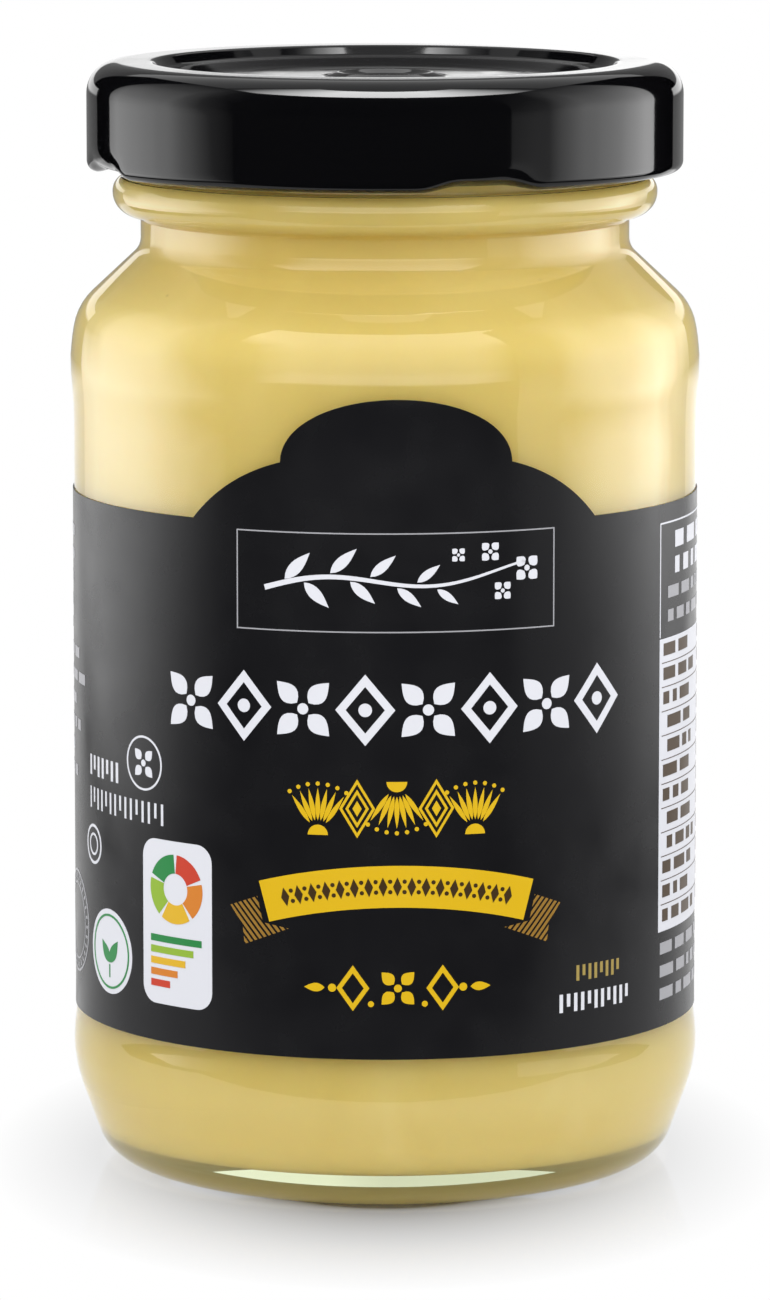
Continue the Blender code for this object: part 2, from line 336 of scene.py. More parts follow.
def bore_corners(outset):
    """The inside of the glass, from the floor's middle to the neck, moved out by outset."""
    slope = radians(SHOULDER_SLOPE)
    wall = PANEL_RADIUS - WALL + outset
    neck = NECK_BORE + outset
    turn_in = BORE_TURN + outset * tan(slope / 2)
    neck_height = turn_in + (wall - neck) / tan(slope)
    bulge = BEAD_RADIUS - 0.9 + outset
    floor = BORE_FLOOR - outset
    return [
        (0, floor - 0.1, 0),
        (0.6 * wall, floor + 0.1, 12),
        (0.88 * wall, floor, 3),
        (wall, floor, 3.0 + outset),
        (wall, turn_in, 5.0 + outset),
        (neck, neck_height, 3.0 - outset),
        (neck, 88.9, 0.5),
        (bulge, 89.8, 1.2 + outset),
        (bulge, 92.1, 1.0 + outset),
        (FINISH_RADIUS - 1.1 + outset, 93.0, 0.5),
        (FINISH_RADIUS - 1.1 + outset, 94.6, 0.5),
    ]


def glass_outline():
    slope = tan(radians(SHOULDER_SLOPE))
    shoulder_radius, shoulder_height = BODY_RADIUS - 0.68, 80.6
    neck_height = shoulder_height + (shoulder_radius - NECK_RADIUS) / slope
    mouth = [
        (MOUTH_RADIUS, GLASS_TOP - 6.5, 2),
        (MOUTH_RADIUS, GLASS_TOP, 1.35),
        (FINISH_RADIUS, GLASS_TOP, 1.35),
    ]
    bead = [
        (FINISH_RADIUS, 92.8, 0.4),
        (BEAD_RADIUS, 92.4, 1.45),
        (BEAD_RADIUS, 89.45, 2.1),
        (NECK_RADIUS, 89.1, 0.5),
    ]
    body = [
        (NECK_RADIUS, neck_height, 2.0),
        (shoulder_radius, shoulder_height, 5.5),
        (BODY_RADIUS + 0.03, 76.1, 14),
        (PANEL_RADIUS, 71.3, 50),
        (PANEL_RADIUS, 14.5, 20),
        (BODY_RADIUS + 0.02, 11.6, 12),
        (BODY_RADIUS - 0.15, 8.7, 12),
    ]
    base = [
        (FOOT_RADIUS, 0, 4.0),
        (PUSH_UP_RADIUS, 0, 0.5),
        (PUSH_UP_RADIUS - 1.2, 0.55 * PUSH_UP, 2),
        (0, PUSH_UP, 0),
    ]
    return rounded(bore_corners(0) + mouth + bead + body + base)


def thread_rise(angle, z):
    """Height of the four sloping thread ramps above the mouth's wall."""
    pitch = 360 / LUGS
    along = ((angle - LUG_ANGLE - THREAD_LEAD) % pitch) / THREAD_SPAN
    if along > 1:
        return 0.0
    off = abs(z - (THREAD_LOW + THREAD_CLIMB * along))
    ends = min(1, 6 * along, 6 * (1 - along))
    return THREAD_RISE * ends * sqrt(max(0, 1 - off * off))


def glass_relief(r, angle, z):
    """Thread ramps, the mould's parting lines and the stippled ring that the jar stands on."""
    outer = r > NECK_BORE + 1.2
    if outer and 96 < z < 102 and r > FINISH_RADIUS - 0.1:
        r += thread_rise(angle, z)
    if outer and 60 < z < 95:
        away = abs((angle - SEAM_ANGLE + 90) % 180 - 90)
        r += SEAM_RISE * max(0, 1 - away) * (1 if z > 75 else (z - 60) / 15)
    if z < 0.01 and round(angle / 1.5) % 4 < 2:
        z += 0.12
    return r, z


def make_glass(material):
    outline = spaced(glass_outline(), 1.6)
    vertices, faces = turned(outline, 240, glass_relief)
    piece = make_piece("glass_jar", vertices, faces, material)
    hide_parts("jar")


def make_mustard(material):
    """The fill. It reaches just into the glass, so that no air shows between them."""
    corners = bore_corners(PASTE_REACH)[::-1]
    top = [(0, FILL_LEVEL, 0), (8.0, FILL_LEVEL - 0.9, 4), (MOUTH_RADIUS - 0.9, FILL_LEVEL - 0.2, 0.3)]
    outline = spaced(rounded(top + corners), 1.6)

    def lumps(r, angle, z):
        """The free surface is uneven, as the paste settled after it was filled."""
        if z > FILL_LEVEL - 1.0 and r < MOUTH_RADIUS - 1.5:
            wave = sin(radians(3 * angle)) * sin(r / 3) + 0.5 * sin(radians(5 * angle + 40)) * sin(r / 2)
            z -= 0.25 + 0.25 * wave
        return r, z

    vertices, faces = turned(outline, 180, lumps)
    piece = make_piece("mustard_fill", vertices, faces, material)
    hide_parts("mustard")


# The lid

def lid_outline():
    """Thin sheet: raised rim, dished panel with a ring bead and a button, curled edge."""
    sheet = LID_SHEET
    floor = LID_TOP - LID_PANEL_DROP
    sag = LID_SAG
    dish = [(r, floor - sag * (1 - (r / 20.9) ** 2), 1.5) for r in (17.6, 13.5, 9.5)][::-1]
    button = [
        (0, floor - sag + 0.02, 0),
        (3.1, floor - sag + 0.04, 1.2),
        (4.4, floor - sag + 0.42, 0.6),
        (5.6, floor - sag + 0.03, 0.8),
    ]
    panel = dish + [
        (20.9, floor, 0.7),
        (21.7, LID_TOP, 0.5),
        (LID_RADIUS, LID_TOP, LID_SHOULDER),
        (LID_RADIUS, LID_BOTTOM, 0.92),
        (LID_RADIUS - 1.9, LID_BOTTOM, 0.92),
        (LID_RADIUS - 1.9, LID_BOTTOM + 1.85, 0.85),
    ]
    roll_end = [
        (LID_RADIUS - 0.7, LID_BOTTOM + 1.85, 0.08),
        (LID_RADIUS - 0.7, LID_BOTTOM + 1.62, 0.08),
        (LID_RADIUS - 1.66, LID_BOTTOM + 1.62, 0.6),
        (LID_RADIUS - 1.66, LID_BOTTOM + 0.24, 0.65),
        (LID_RADIUS - sheet, LID_BOTTOM + 0.24, 0.65),
    ]
    underside = [
        (LID_RADIUS - sheet, LID_TOP - sheet, LID_SHOULDER - sheet),
        (21.9, LID_TOP - sheet, 0.3),
        (21.1, floor - sheet, 0.5),
        (0, floor - sag - sheet, 0),
    ]
    return rounded(button + panel + roll_end + underside)


def lid_relief(r, angle, z):
    """Presses the curl in and up at four spots, the lugs that hold the thread ramps."""
    if r < LID_RADIUS - 2.2 or z > LID_BOTTOM + LUG_REACH:
        return r, z
    pitch = 360 / LUGS
    away = abs((angle - LUG_ANGLE + pitch / 2) % pitch - pitch / 2)
    across = min(1, max(0, (LUG_HALF_WIDTH - away) / LUG_FLANK))
    up = min(1, max(0, (LID_BOTTOM + LUG_REACH - z) / LUG_REACH))
    weight = across * across * (3 - 2 * across)
    return r - LUG_PRESS * weight * up * up, z + LUG_LIFT * weight * up * (3 - 2 * up) * up


def make_lid(material):
    vertices, faces = turned(spaced(lid_outline(), 0.5), 288, lid_relief)
    piece = make_piece("twist_lid", vertices, faces, material, 50)
    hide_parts("lid")
    return piece


# The label

def glass_radius():
    """Height to radius of the glass's outer face, as two arrays for interpolation."""
    outer = [(z, r) for r, z in glass_outline() if 10 < z < 86 and r > PANEL_RADIUS - 1.5]
    outer.sort()
    return np.array(outer).T


GLASS_HEIGHTS, GLASS_RADII = glass_radius()


def roll(arc, height, lift):
    """A flat place on the label, rolled round the glass at a lift above its face."""
    radius = np.interp(height, GLASS_HEIGHTS, GLASS_RADII) + lift
    angle = radians(LABEL_CENTRE - 90) + arc / (PANEL_RADIUS + FILM)
    return radius * cos(angle), radius * sin(angle), height


def plaque_top(arc):
    """Height of the label's top edge at an arc length from the artwork's centre line."""
    away = abs(arc)
    if away >= PLAQUE_HALF:
        return LABEL_TOP
    if away <= PLAQUE_KNEE:
        dome = sqrt(1 - (away / PLAQUE_KNEE) ** 2)
        return PLAQUE_KNEE_HEIGHT + (PLAQUE_CREST - PLAQUE_KNEE_HEIGHT) * dome
    outer = Vector((PLAQUE_HALF, LABEL_TOP))
    knee = Vector((PLAQUE_KNEE, PLAQUE_KNEE_HEIGHT))
    chord = knee - outer
    bow = (chord.length / 2) ** 2 / (2 * PLAQUE_BULGE) + PLAQUE_BULGE / 2
    centre = (outer + knee) / 2 + Vector((-chord.y, chord.x)).normalized() * (bow - PLAQUE_BULGE)
    return centre.y + sqrt(bow ** 2 - (away - centre.x) ** 2)


def label_columns():
    half_wrap = pi * (PANEL_RADIUS + FILM) - LABEL_SEAM / 2
    dome = [PLAQUE_KNEE * sin(radians(a)) for a in np.linspace(0, 90, 46)]
    flank = list(np.linspace(PLAQUE_KNEE, PLAQUE_HALF, 20)[1:])
    wrap = list(np.linspace(PLAQUE_HALF, half_wrap, 90)[1:])
    right = dome + flank + wrap
    return [-arc for arc in right[:0:-1]] + right


def make_label(material):
    columns = label_columns()
    rows = [1 - (1 - k / 30) ** 1.6 for k in range(31)]
    vertices = []
    for lift in (FILM, 0.01):
        for arc in columns:
            top = plaque_top(arc)
            vertices += [roll(arc, LABEL_BOTTOM + (top - LABEL_BOTTOM) * v, lift) for v in rows]
    tall = len(rows)
    back = len(columns) * tall
    faces = []
    for c in range(len(columns) - 1):
        for v in range(tall - 1):
            a, b = c * tall + v, (c + 1) * tall + v
            faces.append((a, b, b + 1, a + 1))
            faces.append((back + a, back + a + 1, back + b + 1, back + b))
    edge = [c * tall for c in range(len(columns))]
    edge += [(len(columns) - 1) * tall + v for v in range(1, tall)]
    edge += [c * tall + tall - 1 for c in range(len(columns) - 2, -1, -1)]
    edge += [v for v in range(tall - 2, 0, -1)]
    for a, b in zip(edge, edge[1:] + edge[:1]):
        faces.append((b, a, back + a, back + b))
    piece = make_piece("wrap_label", vertices, faces, material, 60)
    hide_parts("label")


# Flat artwork. Each function gives a list of outlines, each a list of (arc, height)

def bar(left, bottom, right, top):
    return [[(left, bottom), (right, bottom), (right, top), (left, top)]]


def ribbon(path, widths, closed=False):
    """A stroke along a path, as one four-sided outline for each stretch."""
    points = [Vector(p) for p in path]
    count = len(points)
    if not hasattr(widths, "__len__"):
        widths = [widths] * count
    sides = []
    for k, point in enumerate(points):
        before = points[k - 1] if closed or k > 0 else point
        after = points[(k + 1) % count] if closed or k < count - 1 else point
        one = (point - before).normalized()
        two = (after - point).normalized()
        along = (one + two).normalized()
        mitre = 1 / max(0.35, along.dot(one if one.length > 0 else two))
        across = Vector((-along.y, along.x)) * widths[k] / 2 * mitre
        sides.append((tuple(point + across), tuple(point - across)))
    pairs = list(zip(sides, sides[1:] + sides[:1])) if closed else list(zip(sides, sides[1:]))
    return [[a[1], b[1], b[0], a[0]] for a, b in pairs]


def circle(x, z, radius, start=0.0, end=360.0, count=40, squash=1.0):
    angles = np.linspace(radians(start), radians(end), count + 1)
    return [(x + radius * cos(a), z + radius * squash * sin(a)) for a in angles]


def disc(x, z, radius, count=36):
    return [circle(x, z, radius, count=count)[:-1]]


def ring(x, z, radius, width, start=0.0, end=360.0, count=40):
    """A stroke along a circle or an arc of it."""
    if end - start >= 360:
        return ribbon(circle(x, z, radius, count=count)[:-1], width, closed=True)
    return ribbon(circle(x, z, radius, start, end, count), width)


def lozenge(x, z, half_width, half_height):
    return [(x - half_width, z), (x, z - half_height), (x + half_width, z), (x, z + half_height)]


def leaf(x, z, length, width, angle, count=9):
    """A pointed leaf from its stalk end at (x, z)."""
    spin = Matrix.Rotation(radians(angle), 2)
    upper = [(length * k / count, width / 2 * sin(pi * (k / count) ** 0.8)) for k in range(count + 1)]
    lower = [(a, -b) for a, b in upper[-2:0:-1]]
    return [[tuple(Vector((x, z)) + spin @ Vector(p)) for p in (lower + upper)[::-1]]]


def flower(x, z, reach, width, gap=0.16, turn=45):
    """Four petals round a dot, like the flower of the mustard plant."""
    shapes = disc(x, z, gap * reach * 1.15, 16)
    for quarter in range(4):
        angle = turn + 90 * quarter
        start_x = x + gap * reach * 1.7 * cos(radians(angle))
        start_z = z + gap * reach * 1.7 * sin(radians(angle))
        shapes += leaf(start_x, start_z, reach * (1 - gap * 1.7), width, angle)
    return shapes


def rounded_tile(left, bottom, right, top, corner):
    places = [(right, bottom, -90), (right, top, 0), (left, top, 90), (left, bottom, 180)]
    outline = []
    for x, z, start in places:
        inner_x = x - corner if x == right else x + corner
        inner_z = z - corner if z == top else z + corner
        outline += circle(inner_x, inner_z, corner, start, start + 90, 8)
    return [outline]


def bar_rows(left, right, top, rows, pitch, height, seed, ragged=0.25):
    """Rows of short bars of uneven length, with a ragged right side."""
    draw = random.Random(seed)
    shapes = []
    for row in range(rows):
        z = top - row * pitch
        end = right - (right - left) * draw.uniform(0, ragged)
        x = left
        while x < end - 0.8:
            length = min(draw.uniform(0.9, 3.4), end - x)
            shapes += bar(x, z - height, x + length, z)
            x += length + height * 0.75
    return shapes


def cut_band(polygon, normal, low, high):
    """The part of a convex polygon whose distance along normal lies between two values."""
    for sign, limit in ((1, high), (-1, -low)):
        kept = []
        for a, b in zip(polygon, polygon[1:] + polygon[:1]):
            da = sign * (a[0] * normal[0] + a[1] * normal[1]) - limit
            db = sign * (b[0] * normal[0] + b[1] * normal[1]) - limit
            if da <= 0:
                kept.append(a)
            if (da < 0 < db) or (db < 0 < da):
                t = da / (da - db)
                kept.append((a[0] + (b[0] - a[0]) * t, a[1] + (b[1] - a[1]) * t))
        polygon = kept
        if len(polygon) < 3:
            return []
    return polygon


def hatched(polygon, angle, pitch, width):
    normal = (cos(radians(angle + 90)), sin(radians(angle + 90)))
    reach = [p[0] * normal[0] + p[1] * normal[1] for p in polygon]
    first = int(min(reach) // pitch)
    last = int(max(reach) // pitch) + 1
    bands = [cut_band(polygon, normal, k * pitch, k * pitch + width) for k in range(first, last + 1)]
    return [band for band in bands if band]


def print_ink(name, shapes, material, layer=1):
    """Rolls flat shapes round the label as one thin layer of ink with closed edges."""
    flat = bmesh.new()
    for outline in shapes:
        area = sum(a[0] * b[1] - b[0] * a[1] for a, b in zip(outline, outline[1:] + outline[:1]))
        points = outline if area > 0 else outline[::-1]
        flat.faces.new([flat.verts.new((x, z, 0)) for x, z in points])
    bmesh.ops.remove_doubles(flat, verts=flat.verts, dist=0.0005)
    bmesh.ops.triangulate(flat, faces=[f for f in flat.faces if len(f.verts) > 4])
    low = min(v.co.x for v in flat.verts)
    high = max(v.co.x for v in flat.verts)
    step = 1.0
    cut = low + step
    while cut < high:
        everything = flat.verts[:] + flat.edges[:] + flat.faces[:]
        bmesh.ops.bisect_plane(
            flat, geom=everything, plane_co=(cut, 0, 0), plane_no=(1, 0, 0), dist=0.0002)
        cut += step
    top = FILM + INK * layer
    bottom = FILM + INK * (layer - 1) - 0.012
    vertices = [roll(v.co.x, v.co.y + ART_RISE, top) for v in flat.verts]
    vertices += [roll(v.co.x, v.co.y + ART_RISE, bottom) for v in flat.verts]
    flat.verts.index_update()
    count = len(flat.verts)
    faces = []
    for face in flat.faces:
        corners = [v.index for v in face.verts]
        faces.append(tuple(corners))
        faces.append(tuple(count + c for c in corners[::-1]))
    for edge in flat.edges:
        if len(edge.link_faces) == 1:
            loop = edge.link_loops[0]
            a, b = loop.vert.index, loop.link_loop_next.vert.index
            faces.append((b, a, count + a, count + b))
    flat.free()
    return make_piece(name, vertices, faces, material, 30)


def sprig():
    """A chalk-white sprig of mustard in flower, lying in the frame."""
    steps = 40
    stem = []
    widths = []
    for k in range(steps + 1):
        t = k / steps
        stem.append((-12.2 + 24.2 * t, 56.9 + 1.7 * t + 0.75 * sin(2 * pi * t * 1.15)))
        widths.append(0.5 - 0.3 * t)
    shapes = ribbon(stem, widths)
    for k, (t, side, length) in enumerate([
            (0.08, 1, 3.4), (0.15, -1, 3.2), (0.24, 1, 3.3), (0.32, -1, 3.0), (0.41, 1, 3.0),
            (0.49, -1, 2.8), (0.57, 1, 2.6), (0.65, -1, 2.4)]):
        x, z = stem[round(t * steps)]
        angle = side * (46 - 1.5 * k)
        shapes += leaf(x + 0.12, z + side * 0.34, length, 1.15 - 0.06 * k, angle)
    for x, z, size in ((12.2, 58.55, 1.45), (8.6, 60.2, 1.1), (9.8, 56.6, 1.05), (5.6, 60.0, 0.8)):
        shapes += flower(x, z, size, size * 0.72)
    return shapes


def white_frame():
    left, right, bottom, top, line = -14.93, 15.0, 53.05, 62.0, 0.12
    corners = [(left, bottom), (right, bottom), (right, top), (left, top)]
    return ribbon(corners, line, closed=True)


def flower_and_lozenge_row():
    """The widest row of the label: flowers and open lozenges in turn."""
    centre, pitch, units = 45.95, 5.72, 8
    shapes = []
    for k in range(units):
        x = (k - (units - 1) / 2) * pitch
        if k % 2 == 0:
            shapes += flower(x, centre, 3.45, 1.75, 0.13)
        else:
            shapes += ribbon(lozenge(x, centre, 2.25, 2.7), 0.72, closed=True)
            shapes += disc(x, centre, 0.62, 20)
    return shapes


def fan(x, base, reach, rays, spread, width):
    """A fan of narrow petals that spring from a half disc, under a row of beads."""
    shapes = [circle(x, base, reach * 0.19, 0, 180, 14)]
    for k in range(rays):
        angle = 90 + spread * (2 * k / (rays - 1) - 1)
        start_x = x + reach * 0.27 * cos(radians(angle))
        start_z = base + reach * 0.27 * sin(radians(angle))
        shapes += leaf(start_x, start_z, reach * 0.60, width, angle)
        bead_x = x + reach * 0.95 * cos(radians(angle))
        bead_z = base + reach * 0.95 * sin(radians(angle))
        shapes += disc(bead_x, bead_z, 0.2, 12)
    return shapes


def deco_row():
    """Three fans with nested lozenges between them, in the fine lines of old sign painters."""
    base, height, line = 34.45, 4.95, 0.24
    shapes = []
    for x, turned_over in ((-7.2, False), (0.0, True), (7.2, False)):
        parts = fan(x, base, height, 7, 34, 0.46)
        if turned_over:
            parts = [[(a, 2 * base + height - z) for a, z in part[::-1]] for part in parts]
        shapes += parts
    for x in (-3.6, 3.6):
        for size in (1.0, 0.62):
            outline = lozenge(x, base + height / 2, 1.5 * size, height / 2 * size)
            shapes += ribbon(outline, line, closed=True)
        shapes += [lozenge(x, base + height / 2, 0.42, 0.72)]
    return shapes


RIBBON_CENTRE, RIBBON_INNER, RIBBON_OUTER, RIBBON_HALF_ANGLE = -15.7, 43.55, 47.4, 15.8


def banner():
    """The arched ribbon, a piece of a wide ring."""
    middle = (RIBBON_INNER + RIBBON_OUTER) / 2
    width = RIBBON_OUTER - RIBBON_INNER
    return ring(0.05, RIBBON_CENTRE, middle, width, 90 - RIBBON_HALF_ANGLE, 90 + RIBBON_HALF_ANGLE, 40)


def banner_marks():
    """A line of dark lozenges and pairs of beads along the ribbon."""
    middle = (RIBBON_INNER + RIBBON_OUTER) / 2
    units, pitch = 33, 0.82
    shapes = []
    for k in range(units):
        angle = 90 + (k - (units - 1) / 2) * pitch
        spin = Matrix.Rotation(radians(angle - 90), 2)
        x = 0.05 + middle * cos(radians(angle))
        z = RIBBON_CENTRE + middle * sin(radians(angle))
        if k % 2 == 0:
            parts = [lozenge(0, 0, 0.40, 0.88)]
        else:
            parts = disc(0, 0.48, 0.2, 12) + disc(0, -0.48, 0.2, 12)
        for part in parts:
            shapes.append([tuple(Vector((x, z)) + spin @ Vector(p)) for p in part])
    return shapes


def banner_tails():
    """The ribbon's folded ends, hatched."""
    upper = [(-15.74, 27.48), (-14.5, 25.75), (-12.45, 26.1), (-13.0, 28.49)]
    lower = [(-14.5, 25.75), (-14.29, 23.97), (-9.95, 25.68), (-12.45, 26.1)]
    shapes = []
    for polygon in (upper, lower):
        for band in hatched(polygon, -50, 0.46, 0.26):
            shapes.append(band)
            shapes.append([(0.1 - x, z) for x, z in band[::-1]])
    return shapes


def seed_row():
    """Lozenges, dots and a flower under the ribbon."""
    centre, line = 20.4, 0.42
    shapes = flower(0.1, centre, 2.1, 1.15, 0.15)
    for side in (-1, 1):
        shapes += ribbon(lozenge(0.1 + side * 4.1, centre, 1.25, 1.75), line, closed=True)
        shapes += disc(0.1 + side * 2.45, centre - 1.45, 0.28, 14)
        shapes += disc(0.1 + side * 6.0, centre, 0.38, 16)
        shapes += leaf(0.1 + side * 6.7, centre, 1.9, 0.8, 0 if side > 0 else 180)
    return shapes


def tick_row(left, right, bottom, height, pitch, width):
    shapes = []
    x = left
    index = 0
    while x + width <= right:
        low = bottom + (height * 0.3 if index % 3 == 1 else 0)
        shapes += bar(x, low, x + width, bottom + height)
        x += pitch
        index += 1
    return shapes


def print_front(white, grey, yellow, gold, brown, pale_gold):
    print_ink("print_frame", white_frame(), grey)
    print_ink("print_sprig", sprig(), white)
    print_ink("print_flower_row", flower_and_lozenge_row(), white)
    print_ink("print_deco_row", deco_row(), yellow)
    print_ink("print_ribbon", banner(), yellow)
    print_ink("print_ribbon_marks", banner_marks(), brown, 2)
    print_ink("print_ribbon_tails", banner_tails(), gold)
    print_ink("print_seed_row", seed_row(), yellow)
    print_ink("print_small_gold", tick_row(17.7, 23.4, 19.95, 1.45, 0.72, 0.34), pale_gold)
    print_ink("print_small_white", tick_row(15.8, 25.2, 17.15, 1.7, 0.82, 0.38), white)


def print_left(white, grey, tile_inks):
    """A white tile with a colour wheel, a round badge with a sprout, and rows of bars and ticks."""
    print_ink("print_tile", rounded_tile(-26.3, 17.3, -17.75, 32.65, 1.7), white)
    wheel_x, wheel_z = -22.0, 28.2
    for k, ink in enumerate(tile_inks):
        arc = ring(wheel_x, wheel_z, 2.35, 1.75, 90 + 72 * k + 3, 90 + 72 * (k + 1) - 3, 12)
        strip = bar(-25.2, 23.1 - 1.05 * k, -25.2 + 6.3 - 0.95 * k, 23.75 - 1.05 * k)
        print_ink(f"print_tile_colour_{k + 1}", arc + strip, ink, 2)
    print_ink("print_badge", disc(-32.05, 20.95, 3.98, 56), white)
    rim = ring(-32.05, 20.95, 3.4, 0.22, count=56)
    sprout = leaf(-32.05, 19.9, 2.7, 1.25, 55) + leaf(-32.05, 19.9, 2.5, 1.15, 128)
    sprout += bar(-32.16, 18.5, -31.94, 19.75)
    print_ink("print_badge_green", rim + sprout, tile_inks[0], 2)
    mark = ring(-26.2, 39.45, 2.45, 0.2, count=44) + flower(-26.2, 39.45, 1.75, 0.95)
    mark += ring(-35.6, 30.5, 1.75, 0.26, count=32) + ring(-35.6, 30.5, 0.95, 0.22, count=28)
    print_ink("print_small_marks", mark, white)
    lines = tick_row(-36.4, -29.7, 37.0, 1.9, 0.95, 0.42) + tick_row(-36.4, -23.5, 33.9, 2.0, 0.9, 0.3)
    print_ink("print_left_ticks", lines, white)
    block = bar_rows(-69.0, -37.9, 59.5, 11, 2.25, 1.0, 5)
    dial = ring(-42.0, 22.2, 4.75, 0.22, count=56) + ring(-42.0, 22.2, 3.6, 0.16, count=48)
    for k in range(28):
        a = 360 / 28 * k
        tick = [(-42.0 + r * cos(radians(a)), 22.2 + r * sin(radians(a))) for r in (3.95, 4.45)]
        dial += ribbon(tick, 0.26)
    block += dial + bar_rows(-69.0, -49.0, 31.5, 6, 2.25, 1.0, 8)
    print_ink("print_left_small", block, grey)


def print_right(white, grey, dark):
    """A boxed table: dark bars on white rows, with rows of pale bars above and below."""
    left, right = 29.55, 64.0
    rules = ribbon([(left, 50.35), (left, 60.95), (right, 60.95), (right, 50.35)], 0.16)
    print_ink("print_table_rules", rules, white)
    heads = bar_rows(left + 3.2, right - 1.5, 60.0, 2, 2.4, 1.55, 11, 0.15)
    print_ink("print_table_heads", heads, white)
    notes = bar_rows(left + 1.6, right - 1.5, 55.0, 2, 2.2, 1.1, 12)
    notes += bar_rows(left + 0.3, right - 0.5, 21.7, 3, 2.15, 1.1, 13)
    print_ink("print_right_small", notes, grey)
    print_ink("print_table", bar(left - 0.08, 22.75, right + 0.08, 50.2), white)
    rows = 12
    pitch = 27.2 / rows
    cells = []
    for k in range(rows):
        top = 49.75 - k * pitch
        inset = 0.9 if k in (3, 4, 7, 8) else 0.0
        cells += bar_rows(left + 0.7 + inset, left + 10.5, top, 1, pitch, 1.15, 20 + k, 0.3)
        cells += bar_rows(left + 14.0, left + 19.5, top, 1, pitch, 1.15, 50 + k, 0.4)
        cells += bar_rows(left + 24.5, left + 30.0, top, 1, pitch, 1.15, 80 + k, 0.4)
        if k:
            cells += bar(left + 0.4, top + 0.42, right - 0.4, top + 0.50)
    print_ink("print_table_text", cells, dark, 2)


# The studio

def set_camera():
    """A long lens a little above the lid, looking down, as in the photograph."""
    data = bpy.data.cameras.new("camera")
    data.lens = 199.4
    data.sensor_width = 36.0
    data.clip_start = 0.05
    camera = bpy.data.objects.new("camera", data)
    bpy.context.scene.collection.objects.link(camera)
    camera.location = (0.0, -0.6707, 0.1493)
    camera.rotation_euler = (radians(90 - 8.594), 0, 0)
    bpy.context.scene.camera = camera


def studio_card(name, cloth, rows, radiance, **seen_by):
    """A flat or bent diffuser from rows of corners. It isn't part of the object.

    The radiance is one number, or a row of numbers for each row of corners.
    """
    wide = len(rows[0])
    points = [p for row in rows for p in row]
    faces = []
    for row in range(len(rows) - 1):
        for k in range(wide - 1):
            a = row * wide + k
            faces.append((a, a + 1, a + wide + 1, a + wide))
    levels = [radiance] * len(points)
    if hasattr(radiance, "__len__"):
        levels = [v for row in radiance for v in row]
    mesh = bpy.data.meshes.new(name)
    mesh.from_pydata(points, [], faces)
    mesh.attributes.new("radiance", "FLOAT", "POINT").data.foreach_set("value", levels)
    mesh.materials.append(cloth)
    card = bpy.data.objects.new(name, mesh)
    bpy.context.scene.collection.objects.link(card)
    card.visible_camera = False
    card.visible_shadow = False
    for ray in ("diffuse", "glossy", "transmission"):
        setattr(card, "visible_" + ray, seen_by.get(ray, True))
    return card


def side_card(name, cloth, side, azimuths, low, middle, high):
    """An upright diffuser beside the jar. Azimuths are seen from the jar, from the front."""
    places = [(side * SIDE_AWAY, -SIDE_AWAY / tan(radians(a))) for a in azimuths]
    rows = [[(x, y, z) for x, y in places] for z in SIDE_HEIGHTS]
    levels = [low, low, middle, high] + [[v * share for v in high] for share in (0.75, 0.3, 0.0)]
    return studio_card(name, cloth, rows, levels, diffuse=False)


def overhead(xs, ys, height):
    return [[(x, y, height) for x in xs] for y in ys]


def around_jar(away, height, turns):
    """Places on a level circle about the jar, at turns in radians from the front."""
    return [(away * sin(a), -away * cos(a), height) for a in turns]


def receivers(name, objects, state):
    """What a card lights: only these objects (INCLUDE), or all the others (EXCLUDE)."""
    group = bpy.data.collections.new(name)
    for item in objects:
        group.objects.link(item)
    for member in group.collection_objects:
        member.light_linking.link_state = state
    return group


def light_front(cloth, all_but_lid):
    """The broad key before the jar, and two cards that the glass and the lid don't mirror."""
    profile = (
        (-0.9, 0.055, 0.0), (-0.9, 0.08, 1.2), (-0.9, 0.13, 1.2), (-0.9, 0.20, 0.8),
        (-0.9, 0.42, 0.8), (-0.8, 0.72, 1.15), (-0.06, 0.80, 1.35))
    rows = [[(x, y, z) for x in (-1.0, -0.6, 0.6, 1.0)] for y, z, _ in profile]
    faded = [[KEY_RADIANCE * level * a for a in (0.0, 1.0, 1.0, 0.0)] for _, _, level in profile]
    key = studio_card("key_card", cloth, rows, faded, diffuse=False, transmission=False)
    key.light_linking.receiver_collection = all_but_lid
    fill = overhead((-0.55, 0.55), (-0.45, -0.10), CARD_HEIGHT)
    studio_card("fill_card", cloth, fill, FILL_RADIANCE, glossy=False)
    front = [[(x, -0.9, z) for x in (-0.6, 0.6)] for z in (0.0, 0.55)]
    studio_card("front_card", cloth, front, FRONT_RADIANCE, glossy=False)


def light_top(cloth, only_lid):
    """A bent strip that only the lid's rim mirrors, fading to its ends, and a dim ceiling."""
    sweep = range(-100, 101, 10)
    turns = [radians(a) for a in sweep]
    strip = [around_jar(away, 0.41, turns) for away in (0.235, 0.075)]
    tapered = [[RIM_RADIANCE * min(1, max(0, 92 - abs(a)) / 60) for a in sweep]] * 2
    rim = studio_card("rim_card", cloth, strip, tapered, diffuse=False, transmission=False)
    rim.light_linking.receiver_collection = only_lid
    ceiling = overhead((-0.6, 0.6), (-0.09, 0.6), CARD_HEIGHT)
    studio_card("ceiling_card", cloth, ceiling, CEILING_RADIANCE, diffuse=False, transmission=False)


